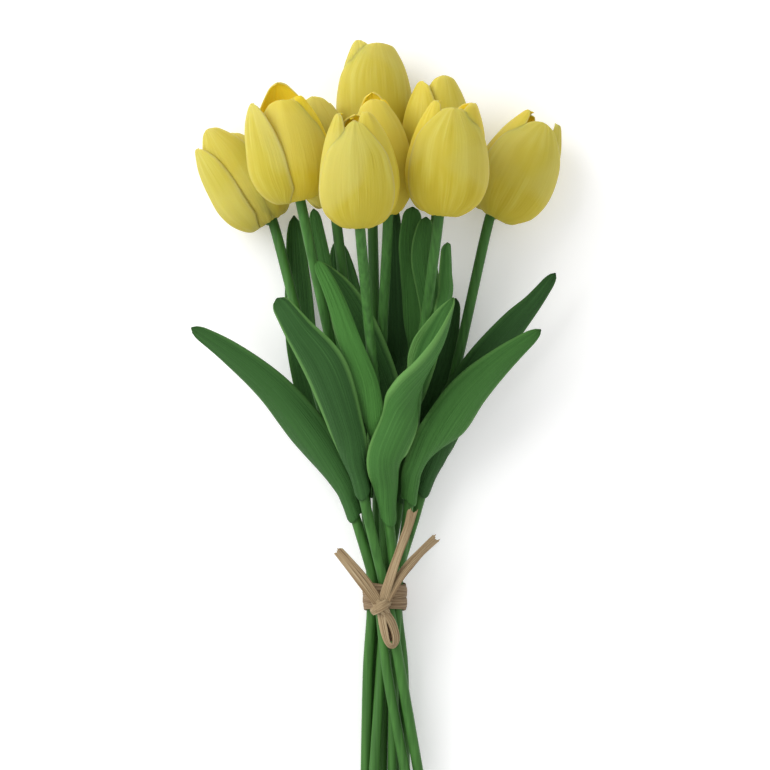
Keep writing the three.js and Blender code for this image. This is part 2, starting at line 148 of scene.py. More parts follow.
def through(rows, t):
    """The smooth curve through the rows, at t from 0 at the first row to 1 at the last."""
    rows = np.asarray(rows, float)
    last = len(rows) - 1
    ends = np.vstack([2 * rows[0] - rows[1], rows, 2 * rows[-1] - rows[-2]])
    place = np.clip(np.asarray(t, float), 0, 1) * last
    cell = np.minimum(place.astype(int), last - 1)
    f = (place - cell)[..., None]
    a, b, c, d = (ends[cell + k] for k in range(4))
    return b + 0.5 * f * (c - a + f * (2 * a - 5 * b + 4 * c - d + f * (3 * (b - c) + d - a)))


def unit(vectors):
    return vectors / np.linalg.norm(vectors, axis=-1, keepdims=True)


def square_to(vectors, along):
    """The part of each vector that is square to the unit vectors along, at length 1."""
    return unit(vectors - along * (vectors * along).sum(-1, keepdims=True))


print("middle", MIDDLE, "mm")

# %% [markdown]
# Each tulip has a course for its stem, from the cut end past the tie and its leaves to the top,
# and a bloom of a given radius and height. The bloom leans to the right and rises from the surface
# by the given degrees, and the top of the stem points the same way.

# %% Courses of the nine tulips
STEM_RADIUS = 2.5
STEM_NECK = 7
TULIPS = {
    1: {"radius": 18.8, "height": 52, "lean": -31, "rise": 1, "stem": [
        (15.1, -179, 16.2), (5.2, -125, 20.8), (0.5, -88, 21.4),
        (-11.4, -46, 21.5), (-28.5, 10, 20), (-52.1, 93.5, 15.4),
    ]},
    2: {"radius": 20.8, "height": 54.5, "lean": -11, "rise": 6, "stem": [
        (21.8, -182, 15), (11.8, -125, 23), (4.9, -88, 24.4),
        (-4.8, -46, 30.5), (-16.8, 10, 40), (-36.4, 103, 59.2),
    ]},
    3: {"radius": 15, "height": 54, "lean": -10, "rise": 4, "stem": [
        (-5.4, -181, 9.5), (-4.2, -125, 12), (-2.2, -88, 16.1),
        (-5, -46, 15.5), (-9.5, 10, 20.5), (-20.7, 101, 31.8),
    ]},
    4: {"radius": 18.9, "height": 58.5, "lean": 0, "rise": 2, "stem": [
        (-3, -181, 2.0), (-1.9, -125, 6.3), (-0.9, -88, 10.9),
        (0.5, -46, 9), (0, 10, 10), (-2.4, 121, 15.1),
    ]},
    5: {"radius": 21.2, "height": 53, "lean": -2, "rise": 8, "stem": [
        (7.6, -184, 11), (8.4, -125, 15.2), (9.5, -88, 21.2),
        (5.4, -46, 29), (-0.5, 10, 39), (-7.6, 90.5, 81),
    ]},
    6: {"radius": 15, "height": 56.5, "lean": -7, "rise": 6, "stem": [
        (-1.7, -180, 14.5), (2, -125, 13.7), (4.1, -88, 15.8),
        (3.6, -46, 19.5), (1.8, 10, 23.5), (4.6, 97, 45),
    ]},
    7: {"radius": 18.4, "height": 55, "lean": 2, "rise": 3, "stem": [
        (2.6, -178, 3.4), (3.4, -125, 5), (3.3, -88, 7.5),
        (10.5, -46, 9.5), (18, 10, 16), (29.5, 106, 29.5),
    ]},
    8: {"radius": 20.5, "height": 54.5, "lean": 6, "rise": 8, "stem": [
        (13.8, -183, 9), (13, -125, 10), (9.9, -88, 15.6),
        (15.2, -46, 22), (19.5, 10, 33), (30, 97, 61.5),
    ]},
    9: {"radius": 20.3, "height": 52.5, "lean": 28, "rise": 1, "stem": [
        (8.8, -180, 4.6), (8.6, -125, 6), (8, -88, 9.8),
        (19.6, -46, 14), (35.5, 10, 16.5), (56.8, 96.3, 16.6),
    ]},
}


def bloom_axis(tulip):
    lean, rise = math.radians(tulip["lean"]), math.radians(tulip["rise"])
    return unit(np.array([math.sin(lean), math.cos(lean), math.tan(rise)]))


def stem_rows(tulip):
    """The stem's course, with one more place below its top that points it along the bloom's axis."""
    points = [np.array(p, float) for p in tulip["stem"]]
    points.insert(-1, points[-1] - bloom_axis(tulip) * STEM_NECK)
    return points


print("tulips", len(TULIPS))

# %% [markdown]
# Nodes are placed in a tree by a small helper, so that each step of a tree reads as one line. Another
# helper gives an object the tree as a modifier, sets its inputs and keeps the result as a plain mesh,
# because a finished piece has no live modifier. The last one hides the solid that a piece stands for
# and ties the piece to the body that it moves with.

# %% Helpers for node trees


def node(tree, kind, options=None, **inputs):
    """A new node with its options set and its sockets filled, by a plain value or by a link."""
    made = tree.nodes.new(kind)
    for key, value in (options or {}).items():
        setattr(made, key, value)
    for key, value in inputs.items():
        socket = next(s for s in made.inputs if s.identifier == key or s.name == key)
        if isinstance(value, bpy.types.NodeSocket):
            tree.links.new(value, socket)
        else:
            socket.default_value = value
    return made


def maths(tree, operation, first, second=0.0, third=0.0):
    values = {"Value": first, "Value_001": second, "Value_002": third}
    return node(tree, "ShaderNodeMath", {"operation": operation}, **values).outputs[0]


def noise(tree, place, **values):
    return node(tree, "ShaderNodeTexNoise", Vector=place, **values).outputs[0]


def geometry_tree(name, inputs):
    """A new tree with named inputs: a material where the value is None, else a number."""
    tree = bpy.data.node_groups.new(name, "GeometryNodeTree")
    tree.interface.new_socket("Geometry", in_out="INPUT", socket_type="NodeSocketGeometry")
    for label, value in inputs.items():
        kind = "NodeSocketMaterial" if value is None else "NodeSocketFloat"
        socket = tree.interface.new_socket(label, in_out="INPUT", socket_type=kind)
        if value is not None:
            socket.default_value = value
    tree.interface.new_socket("Geometry", in_out="OUTPUT", socket_type="NodeSocketGeometry")
    return tree, tree.nodes.new("NodeGroupInput").outputs


def end_tree(tree, geometry, paint):
    """Ends a tree in smooth faces, real instances and the material."""
    smooth = node(tree, "GeometryNodeSetShadeSmooth", Geometry=geometry)
    real = node(tree, "GeometryNodeRealizeInstances", Geometry=smooth.outputs[0])
    painted = node(tree, "GeometryNodeSetMaterial", Geometry=real.outputs[0], Material=paint)
    tree.links.new(painted.outputs[0], tree.nodes.new("NodeGroupOutput").inputs[0])


def grow(obj, tree, values):
    """The plain mesh that the tree makes of an object, in the object's place."""
    modifier = obj.modifiers.new(tree.name, "NODES")
    modifier.node_group = tree
    for socket in tree.interface.items_tree:
        if socket.in_out == "INPUT" and socket.name in values:
            modifier[socket.identifier] = values[socket.name]
    graph = bpy.context.evaluated_depsgraph_get()
    made = bpy.data.meshes.new_from_object(obj.evaluated_get(graph), depsgraph=graph)
    name = obj.name
    bpy.data.objects.remove(obj)
    made.name = name
    return link(bpy.data.objects.new(name, made))


def finish_piece(piece, replaced):
    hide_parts(replaced)
    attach(piece, BODY)
    return piece


print("pieces ride on the body", BODY)

# %% [markdown]
# Petals, leaves and raffia all have lines that run along them: ribs, veins and fibres. So each
# blade carries a point attribute with each point's place across and along it. One shader group
# turns that attribute into streaks that bend with the blade, and each material uses it at its own
# scale. The noise is read far enough apart for each blade that no two have the same lines.

# %% Streaks that run along a blade
STREAK_SIZES = {"Across": 30.0, "Along": 2.0, "Grain": 900.0}
# The tone result also carries painted bounce light on petals and painted shade on the raffia, and the
# rim result is the strength of a painted highlight along a leaf's edges.
STREAK_RESULTS = (
    "Streaks", "Fine grain", "Across the blade", "Along the blade", "Face", "Tone and painted light", "Painted rim highlight",
)
STREAK_NOISE = {"Scale": 1.0, "Detail": 3.0, "Roughness": 0.6}
GRAIN_DETAIL = 2.0
STREAKS_APART = 7.3
STREAK_GROUP = bpy.data.node_groups.new("streaks along a blade", "ShaderNodeTree")


def stretched_place(tree, split, given, shift):
    """A place on the blade, scaled across and along it, and shifted for this blade alone."""
    return node(
        tree, "ShaderNodeCombineXYZ",
        X=maths(tree, "MULTIPLY", split.outputs["X"], given["Across"]),
        Y=maths(tree, "MULTIPLY", split.outputs["Y"], given["Along"]), Z=shift,
    ).outputs[0]


def object_place(tree):
    return node(tree, "ShaderNodeTexCoord").outputs["Object"]


def build_streaks(tree):
    for label, value in STREAK_SIZES.items():
        socket = tree.interface.new_socket(label, in_out="INPUT", socket_type="NodeSocketFloat")
        socket.default_value = value
    for label in STREAK_RESULTS:
        tree.interface.new_socket(label, in_out="OUTPUT", socket_type="NodeSocketFloat")
    given = tree.nodes.new("NodeGroupInput").outputs
    blade = node(tree, "ShaderNodeAttribute", {"attribute_name": "blade"})
    split = node(tree, "ShaderNodeSeparateXYZ", Vector=blade.outputs["Vector"])
    number = node(tree, "ShaderNodeAttribute", {"attribute_name": "number"})
    shift = maths(tree, "MULTIPLY", number.outputs["Fac"], STREAKS_APART)
    streaks = noise(tree, stretched_place(tree, split, given, shift), **STREAK_NOISE)
    grain = noise(tree, object_place(tree), Scale=given["Grain"], Detail=GRAIN_DETAIL)
    shade = node(tree, "ShaderNodeAttribute", {"attribute_name": "shade"})
    parts = node(tree, "ShaderNodeSeparateXYZ", Vector=shade.outputs["Vector"])
    results = (streaks, grain, *split.outputs, *list(parts.outputs)[:2])
    for result, end in zip(results, tree.nodes.new("NodeGroupOutput").inputs):
        tree.links.new(result, end)


build_streaks(STREAK_GROUP)
print("streak group", len(STREAK_GROUP.nodes), "nodes")

# %% [markdown]
# The finishes are matt and soft, and each mixes a few colours. A colour ramp turns the streaks into
# a colour, a mix node blends two colours by a mask, and a bump node raises fine relief. A mask is a
# value that is steepened and kept between two limits. Each of these steps is a small helper.

# %% Helpers for the finishes
NOISE_MIDDLE = 0.5
PATCH_DETAIL = 1.0


def ramp(tree, value, stops):
    """A colour ramp through (place, colour) stops."""
    made = node(tree, "ShaderNodeValToRGB", Fac=value)
    while len(made.color_ramp.elements) < len(stops):
        made.color_ramp.elements.new(0.5)
    for element, (place, colour) in zip(made.color_ramp.elements, stops):
        element.position = place
        element.color = (*colour, 1)
    return made.outputs[0]


def blend_colours(tree, factor, first, second):
    made = node(
        tree, "ShaderNodeMix", {"data_type": "RGBA"},
        Factor_Float=factor, A_Color=first, B_Color=second,
    )
    return next(s for s in made.outputs if s.identifier == "Result_Color")


def streaked(tree, **sizes):
    return node(tree, "ShaderNodeGroup", {"node_tree": STREAK_GROUP}, **sizes).outputs


def mask(tree, value, gain, least=0.0, most=1.0):
    """The value times gain[0] plus gain[1], kept between two limits."""
    steep = maths(tree, "MULTIPLY_ADD", value, *gain)
    return maths(tree, "MINIMUM", maths(tree, "MAXIMUM", steep, least), most)


def rim_mask(tree, blade_place, gain):
    """A mask that is 0 over most of the blade and rises at its two edges."""
    return mask(tree, maths(tree, "ABSOLUTE", blade_place["Across the blade"]), gain)


def patches(tree, size, gain, least, most):
    """A mask of soft patches that lie anywhere on the piece."""
    cloud = noise(tree, object_place(tree), Scale=size, Detail=PATCH_DETAIL)
    return mask(tree, cloud, gain, least, most)


def end_finish(tree, shader, colour, height, depth, surface):
    """Ends a finish in its colour, its relief and what is the same all over it."""
    bump = node(tree, "ShaderNodeBump", Height=height, Distance=depth, Strength=1.0)
    tree.links.new(colour, shader.inputs["Base Color"])
    tree.links.new(bump.outputs[0], shader.inputs["Normal"])
    set_sockets(shader, surface)


print("the streak group gives", ", ".join(STREAK_RESULTS).lower())

# %% [markdown]
# The petals are a clear light yellow, paler towards the tip, and duller at the rim and foot. Inside
# they are a deep golden yellow, partly their own colour and partly a painted glow of the light that
# passes through them. Broad and fine streaks together make their ribs, which fade in places, and paler
# patches lie here and there. A petal's tone says how much painted golden light lies on its outer side:
# the light that yellow petals throw into the shade between the blooms. A little light passes into a
# petal, so the finish also scatters light below the surface.

# %% Petal yellow
BROAD_STREAKS = {"Across": 5.0, "Along": 1.1, "Grain": 420.0}
FINE_STREAKS = {"Across": 22.0, "Along": 2.6, "Grain": 420.0}
BROAD_SHARE = 0.6
FINE_SHARE = 0.4
RIBBED_PARTS = {"size": 55.0, "gain": (3.5, -1.1), "least": 0.25, "most": 1.0}
PALE_PARTS = {"size": 26.0, "gain": (4.0, -2.0), "least": 0.0, "most": 0.4}
PETAL_LOW = (
    (0.36, (0.42, 0.33, 0.017)), (0.5, (0.48, 0.39, 0.028)), (0.64, (0.54, 0.465, 0.057)),
)
PETAL_HIGH = (
    (0.36, (0.48, 0.415, 0.058)), (0.5, (0.53, 0.47, 0.09)), (0.64, (0.585, 0.545, 0.15)),
)
# The inner side's deep golden colour: partly its own, partly a painted glow of the light that passes
# through the petal.
PETAL_INSIDE_AND_GLOW = ((0.36, (0.88, 0.6, 0.02)), (0.64, (0.92, 0.72, 0.06)))
PALE_YELLOW = (0.54, 0.49, 0.135, 1)
# Painted golden light, bounced from neighbouring petals into the shade between blooms.
PAINTED_BOUNCE_GOLD = (0.78, 0.55, 0.008, 1)
RIM_BUFF = (0.46, 0.4, 0.17, 1)
FOOT_OLIVE = (0.36, 0.33, 0.06, 1)
INNER_FACE = (0.5, 0.5)
PETAL_RIM = (9.0, -8.0)
PETAL_FOOT = (-4.0, 1.0)
RIM_SHARE = 0.5
FOOT_SHARE = 0.5
RIBS_TO_TIP = (-0.5, 1.0)
PETAL_GRAIN = 0.06
PETAL_RELIEF = 0.9 * MM
PETAL_SURFACE = {
    "Roughness": 0.6, "Specular IOR Level": 0.2,
    "Subsurface Weight": 0.4, "Subsurface Radius": (1.0, 0.7, 0.25), "Subsurface Scale": 4 * MM,
}


def petal_ribs(tree, broad, fine):
    lines = maths(tree, "MULTIPLY", broad["Streaks"], BROAD_SHARE)
    lines = maths(tree, "MULTIPLY_ADD", fine["Streaks"], FINE_SHARE, lines)
    above = maths(tree, "SUBTRACT", lines, NOISE_MIDDLE)
    return maths(tree, "MULTIPLY_ADD", above, patches(tree, **RIBBED_PARTS), NOISE_MIDDLE)


def petal_colour(tree, lines, place):
    along = place["Along the blade"]
    height = maths(tree, "MULTIPLY", along, along)
    outside = blend_colours(tree, height, ramp(tree, lines, PETAL_LOW), ramp(tree, lines, PETAL_HIGH))
    outside = blend_colours(tree, patches(tree, **PALE_PARTS), outside, PALE_YELLOW)
    # Painted golden bounce light, on petals that lie deep in the shade between blooms.
    outside = blend_colours(tree, place["Tone and painted light"], outside, PAINTED_BOUNCE_GOLD)
    # Painted glow on the inner side, over its own deeper yellow.
    face = maths(tree, "MULTIPLY_ADD", place["Face"], *INNER_FACE)
    colour = blend_colours(tree, face, outside, ramp(tree, lines, PETAL_INSIDE_AND_GLOW))
    rim = maths(tree, "MULTIPLY", rim_mask(tree, place, PETAL_RIM), RIM_SHARE)
    colour = blend_colours(tree, rim, colour, RIM_BUFF)
    foot = maths(tree, "MULTIPLY", mask(tree, along, PETAL_FOOT), FOOT_SHARE)
    return blend_colours(tree, foot, colour, FOOT_OLIVE)


def petal_finish():
    made, shader = material("petal_yellow")
    tree = made.node_tree
    broad = streaked(tree, **BROAD_STREAKS)
    lines = petal_ribs(tree, broad, streaked(tree, **FINE_STREAKS))
    fading = maths(tree, "MULTIPLY_ADD", broad["Along the blade"], *RIBS_TO_TIP)
    height = maths(tree, "MULTIPLY", lines, fading)
    height = maths(tree, "MULTIPLY_ADD", broad["Fine grain"], PETAL_GRAIN, height)
    end_finish(tree, shader, petal_colour(tree, lines, broad), height, PETAL_RELIEF, PETAL_SURFACE)
    return made


PETAL = petal_finish()
print(PETAL.name, len(PETAL.node_tree.nodes), "nodes")

# %% [markdown]
# The leaves are a strong green with fine veins. Each leaf has a tone of its own, which blends a dark
# and a light ramp, so some leaves are darker than others. Some have a painted highlight along their
# rim.

# %% Leaf green
LEAF_STREAKS = {"Across": 26.0, "Along": 1.6, "Grain": 700.0}
LEAF_DARK = (
    (0.3, (0.013, 0.046, 0.012)), (0.55, (0.021, 0.07, 0.018)), (0.8, (0.033, 0.1, 0.027)),
)
LEAF_LIGHT = (
    (0.3, (0.05, 0.165, 0.029)), (0.55, (0.072, 0.225, 0.042)), (0.8, (0.105, 0.29, 0.062)),
)
# The colour of the painted highlight along a leaf's edges.
RIM_HIGHLIGHT_GREEN = (0.13, 0.3, 0.075, 1)
LEAF_RIM_HIGHLIGHT = (6.0, -4.4)
LEAF_GRAIN = 0.3
LEAF_RELIEF = 0.6 * MM
LEAF_SURFACE = {"Roughness": 0.62, "Specular IOR Level": 0.16}


def leaf_finish():
    made, shader = material("leaf_green")
    tree = made.node_tree
    lines = streaked(tree, **LEAF_STREAKS)
    veins = lines["Streaks"]
    dark, light = ramp(tree, veins, LEAF_DARK), ramp(tree, veins, LEAF_LIGHT)
    colour = blend_colours(tree, lines["Tone and painted light"], dark, light)
    # A painted highlight along the leaf's edges, as strong as the leaf's rim value.
    rim = maths(tree, "MULTIPLY", rim_mask(tree, lines, LEAF_RIM_HIGHLIGHT), lines["Painted rim highlight"])
    colour = blend_colours(tree, rim, colour, RIM_HIGHLIGHT_GREEN)
    height = maths(tree, "MULTIPLY_ADD", lines["Fine grain"], LEAF_GRAIN, veins)
    end_finish(tree, shader, colour, height, LEAF_RELIEF, LEAF_SURFACE)
    return made


LEAF = leaf_finish()
print(LEAF.name, len(LEAF.node_tree.nodes), "nodes")

# %% [markdown]
# The stems are smooth and slightly glossy, with faint lines along them. They are round rods, not
# blades, and all run nearly along Y, so their lines are a noise on Object coordinates, which a
# Mapping node presses together across the stems.

# %% Stem green
STEM_STRETCH = (500, 14, 500)
STEM_NOISE = {"Scale": 1.0, "Detail": 2.0}
STEM_GREENS = ((0.3, (0.032, 0.108, 0.018)), (0.7, (0.057, 0.178, 0.031)))
STEM_RELIEF = 0.2 * MM
STEM_SURFACE = {"Roughness": 0.5, "Specular IOR Level": 0.22}


def stem_finish():
    made, shader = material("stem_green")
    tree = made.node_tree
    stretch = node(tree, "ShaderNodeMapping", Vector=object_place(tree), Scale=STEM_STRETCH)
    lines = noise(tree, stretch.outputs[0], **STEM_NOISE)
    colour = ramp(tree, lines, STEM_GREENS)
    end_finish(tree, shader, colour, lines, STEM_RELIEF, STEM_SURFACE)
    return made


STEM = stem_finish()
print(STEM.name, len(STEM.node_tree.nodes), "nodes")

# %% [markdown]
# The raffia is a dry tan with dark fibres. It is a dried leaf, so it takes the streaks as well, at
# a coarser scale. The winding is darker than the knot and its tails, so the tone blends a dark and
# a pale ramp, as on the leaves.

# %% Raffia tan
RAFFIA_STREAKS = {"Across": 6.0, "Along": 1.2, "Grain": 1500.0}
RAFFIA_DARK = (
    (0.28, (0.05, 0.027, 0.014)), (0.45, (0.155, 0.092, 0.047)),
    (0.62, (0.28, 0.19, 0.11)), (0.8, (0.4, 0.31, 0.2)),
)
RAFFIA_PALE = (
    (0.28, (0.13, 0.075, 0.036)), (0.45, (0.32, 0.225, 0.12)),
    (0.62, (0.46, 0.355, 0.21)), (0.8, (0.58, 0.49, 0.33)),
)
RAFFIA_RELIEF = 0.9 * MM
RAFFIA_SURFACE = {"Roughness": 0.7, "Specular IOR Level": 0.2}


def raffia_finish():
    made, shader = material("raffia_tan")
    tree = made.node_tree
    lines = streaked(tree, **RAFFIA_STREAKS)
    fibres = lines["Streaks"]
    dark, pale = ramp(tree, fibres, RAFFIA_DARK), ramp(tree, fibres, RAFFIA_PALE)
    colour = blend_colours(tree, lines["Tone and painted light"], dark, pale)
    end_finish(tree, shader, colour, fibres, RAFFIA_RELIEF, RAFFIA_SURFACE)
    return made


RAFFIA = raffia_finish()
print(RAFFIA.name, len(RAFFIA.node_tree.nodes), "nodes")

# %% [markdown]
# A stem is a round rod along its course. One tree makes all nine: it sweeps a circle along the
# path, thickens the top where the bloom sits, and closes both ends. What would reach below the
# surface is then pressed flat on it, a little at a time, so that the pressed part has no sharp edge.

# %% Stems
STEM_STATIONS = 90
STEM_SIDES = 20
NECK_SWELLING = 0.12
NECK_STEEPNESS = 30.0
LEAST_HEIGHT = 0.03
PRESSED_DEPTH = 0.8


def stem_tree():
    inputs = {"Radius": STEM_RADIUS * MM, "Neck": NECK_SWELLING, "Paint": None}
    tree, given = geometry_tree("stem along a path", inputs)
    height = node(tree, "GeometryNodeSplineParameter").outputs["Factor"]
    swelling = maths(tree, "MULTIPLY", maths(tree, "POWER", height, NECK_STEEPNESS), given["Neck"])
    path = node(
        tree, "GeometryNodeSetCurveRadius",
        Curve=given["Geometry"], Radius=maths(tree, "ADD", swelling, 1.0),
    )
    ring = node(tree, "GeometryNodeCurvePrimitiveCircle", Resolution=STEM_SIDES, Radius=given["Radius"])
    section = {"Profile Curve": ring.outputs[0], "Fill Caps": True}
    swept = node(tree, "GeometryNodeCurveToMesh", Curve=path.outputs[0], **section)
    end_tree(tree, swept.outputs[0], given["Paint"])
    return tree


def path_object(name, points):
    curve = bpy.data.curves.new(name, "CURVE")
    curve.dimensions = "3D"
    spline = curve.splines.new("POLY")
    spline.points.add(len(points) - 1)
    for point, place in zip(spline.points, points):
        point.co = (*place, 1)
    return link(bpy.data.objects.new(name, curve))


def rest_on_surface(mesh):
    """Presses what would reach below the surface flat on it."""
    places = np.zeros(3 * len(mesh.vertices))
    mesh.vertices.foreach_get("co", places)
    places = places.reshape(-1, 3)
    low, depth = LEAST_HEIGHT * MM, PRESSED_DEPTH * MM
    z = places[:, 2]
    places[:, 2] = np.where(z < depth, low + (depth - low) * np.exp((z - depth) / (depth - low)), z)
    mesh.vertices.foreach_set("co", places.ravel())
    mesh.update()


STEM_TREE = stem_tree()
for number, tulip in TULIPS.items():
    course = (through(stem_rows(tulip), np.linspace(0, 1, STEM_STATIONS)) + MIDDLE) * MM
    path = path_object(f"tulip_{number}_stalk", course)
    rod = grow(path, STEM_TREE, {"Radius": STEM_RADIUS * MM, "Paint": STEM})
    rest_on_surface(rod.data)
    finish_piece(rod, f"tulip_{number}_stem")
print("stems", len(TULIPS), "with", len(rod.data.polygons), "faces each")

# %% [markdown]
# A petal or leaf is a blade: a surface with a thickness that rounds off at its edges. It is built
# as two grids of points, one on each side of the surface, and closed along the rim. The columns
# stand closer together near the edges, where the rounding needs them. One attribute keeps each
# point's place on the blade, and another the direction out of the surface. The place's third value
# is 1 on the side that this points to, a petal's inner side, and -1 on the other.

# %% Blades
EDGE_CROWDING = 0.25
EDGE_BLUNTNESS = 12
END_ROUNDING = 0.03
END_THINNING = 0.9
LEAST_BODY = 0.25


def blade_faces(rows, columns):
    """The faces of two grids of points, one above the other, and of the rim between them."""
    across = columns + 1
    count = (rows + 1) * across
    faces = []
    for i in range(rows):
        for j in range(columns):
            a = i * across + j
            faces.append((a, a + across, a + across + 1, a + 1))
            faces.append((count + a, count + a + 1, count + a + across + 1, count + a + across))
    for i in range(rows):
        left, right = i * across, i * across + columns
        faces.append((left, left + count, left + across + count, left + across))
        faces.append((right + across, right + across + count, right + count, right))
    for j in range(columns):
        low, high = j, rows * across + j
        faces.append((low + 1, low + 1 + count, low + count, low))
        faces.append((high, high + count, high + 1 + count, high + 1))
    return faces


def blade(point, rows, columns, thickness):
    """Points, faces, places and outward directions of a closed blade on the surface point(t, s)."""
    t = np.linspace(0, 1, rows + 1)[:, None] * np.ones(columns + 1)
    x = np.linspace(-1, 1, columns + 1) * np.ones((rows + 1, 1))
    s = (1 + EDGE_CROWDING) * x - EDGE_CROWDING * x ** 3
    middle = point(t, s)
    outward = unit(np.cross(np.gradient(middle, axis=0), np.gradient(middle, axis=1)))
    ends = np.clip((np.abs(t - 0.5) - (0.5 - END_ROUNDING)) / END_ROUNDING, 0, 1)
    edges = np.sqrt(np.clip(1 - np.abs(s) ** EDGE_BLUNTNESS, 0, 1))
    body = edges * np.sqrt(1 - END_THINNING * ends ** 2)
    half = 0.5 * thickness * np.maximum(body, LEAST_BODY)[..., None]
    points = np.concatenate([
        (middle + outward * half).reshape(-1, 3), (middle - outward * half).reshape(-1, 3),
    ])
    place = np.stack([s, t, np.ones_like(s)], -1).reshape(-1, 3)
    places = np.concatenate([place, place * (1, 1, -1)])
    return points, blade_faces(rows, columns), places, np.concatenate([outward.reshape(-1, 3)] * 2)


def point_attribute(mesh, label, values):
    single = values.ndim == 1
    attribute = mesh.attributes.new(label, "FLOAT" if single else "FLOAT_VECTOR", "POINT")
    attribute.data.foreach_set("value" if single else "vector", values.ravel())


def for_each_point(blades, values):
    """One value for each point, from one for each blade."""
    return np.concatenate([np.full(len(b[0]), float(v)) for b, v in zip(blades, values)])


def blades_object(name, blades, first=0, shade=(0, 0), tones_and_painted_light=None):
    """One object of several blades in metres, with a number, a tone partly of painted light, and a
    painted rim highlight.
    """
    points = np.concatenate([b[0] for b in blades])
    starts = np.cumsum([0] + [len(b[0]) for b in blades])
    faces = [tuple(v + start for v in face) for b, start in zip(blades, starts) for face in b[1]]
    made = mesh_object(name, (points + MIDDLE) * MM, faces)
    shades = np.tile((*shade, 0.0), (len(points), 1))
    if tones_and_painted_light is not None:
        shades[:, 0] = for_each_point(blades, tones_and_painted_light)
    numbers = for_each_point(blades, range(first, first + len(blades)))
    point_attribute(made.data, "blade", np.concatenate([b[2] for b in blades]))
    point_attribute(made.data, "outward", np.concatenate([b[3] for b in blades]))
    point_attribute(made.data, "number", numbers)
    point_attribute(made.data, "shade", shades)
    return made


print("a blade of 2 by 2 cells has", len(blade_faces(2, 2)), "faces")

# %% [markdown]
# Real petals and leaves aren't smooth sheets: long soft ridges run from foot to tip. They follow
# the surface by a rule, so a Geometry Nodes tree raises them. It reads each point's place on its
# blade, looks up a noise that is stretched along the blade, and moves the point along the outward
# direction. Both faces of a blade move together, so its thickness stays.

# %% Ridges that follow a blade
RIDGE_SIZES = {"Height": 0.4 * MM, "Across": 3.0, "Along": 1.5, "Seed": 0.0, "Paint": None}
RIDGE_NOISE = {"Scale": 1.0, "Detail": 2.0}
RIDGES_APART = 3.7


def read_attribute(tree, label, kind):
    return node(tree, "GeometryNodeInputNamedAttribute", {"data_type": kind}, Name=label).outputs[0]


def ridge_tree():
    tree, given = geometry_tree("ridges along a blade", RIDGE_SIZES)
    split = node(tree, "ShaderNodeSeparateXYZ", Vector=read_attribute(tree, "blade", "FLOAT_VECTOR"))
    number = read_attribute(tree, "number", "FLOAT")
    shift = maths(tree, "MULTIPLY_ADD", number, RIDGES_APART, given["Seed"])
    wave = noise(tree, stretched_place(tree, split, given, shift), **RIDGE_NOISE)
    above = maths(tree, "SUBTRACT", wave, NOISE_MIDDLE)
    offset = node(
        tree, "ShaderNodeVectorMath", {"operation": "SCALE"},
        Vector=read_attribute(tree, "outward", "FLOAT_VECTOR"),
        Scale=maths(tree, "MULTIPLY", above, given["Height"]),
    )
    moved = node(tree, "GeometryNodeSetPosition", Geometry=given["Geometry"], Offset=offset.outputs[0])
    end_tree(tree, moved.outputs[0], given["Paint"])
    return tree


RIDGE_TREE = ridge_tree()
print("ridge tree", len(RIDGE_TREE.nodes), "nodes")

# %% [markdown]
# A tulip bloom is a goblet of six petals. Each petal starts narrow at the stem, swells to the
# bloom's full radius at a third of its height and closes towards the tip. The profile gives how
# far out, how high and how wide a petal is at eight places from foot to tip. One edge of a petal
# stands further out than the other, so that the petals overlap in a spiral. Soft waves, different
# on each, ruffle its edges and give it a shallow hollow or two.

# %% Shape of a petal
PETAL_THICKNESS = 1.0
PETAL_ROWS = 44
PETAL_COLUMNS = 30
LAYER_DEPTH = 2.1
LEAST_CUP = 0.08
CUP_SHARE = 0.16
PETAL_CLOSING = 0.15
LEAST_OUT = 0.1
LAYER_LIFT = 0.4
BLOOM_FLATTENING = 0.84
SEAT_GAP = 0.3
SPIRAL = 0.7
RUFFLE = 0.4
RUFFLE_WAVES = (5, 4)
HOLLOW = 0.25
HOLLOW_WAVES = (4, 3)
WAVES_RISE = 3
PETAL_PROFILE = np.array([
    (0.12, 0.03, 0.16), (0.5, -0.02, 0.5), (0.84, 0.11, 0.84), (1.00, 0.3, 1.00),
    (0.97, 0.52, 0.98), (0.8, 0.76, 0.8), (0.56, 0.94, 0.46), (0.44, 1.00, 0.14),
])
USUAL_TIP = 0.44
TIP_SHARE = np.array([0, 0, 0, 0, 0.06, 0.4, 0.78, 1.0])
TIP_ROUNDING = 0.9
LEAST_TIP = 0.04


def petal_waves(t, s, phase):
    """How far a petal stands out of its plain shape."""
    ruffle = np.sin(RUFFLE_WAVES[0] * t + RUFFLE_WAVES[1] * s + phase[0])
    hollow = np.sin(HOLLOW_WAVES[1] * s + phase[1]) * np.sin(HOLLOW_WAVES[0] * t + phase[2])
    waves = SPIRAL * s * t + RUFFLE * t ** 3 * np.abs(s) ** 2 * ruffle + HOLLOW * hollow
    return waves * np.minimum(1, WAVES_RISE * t)


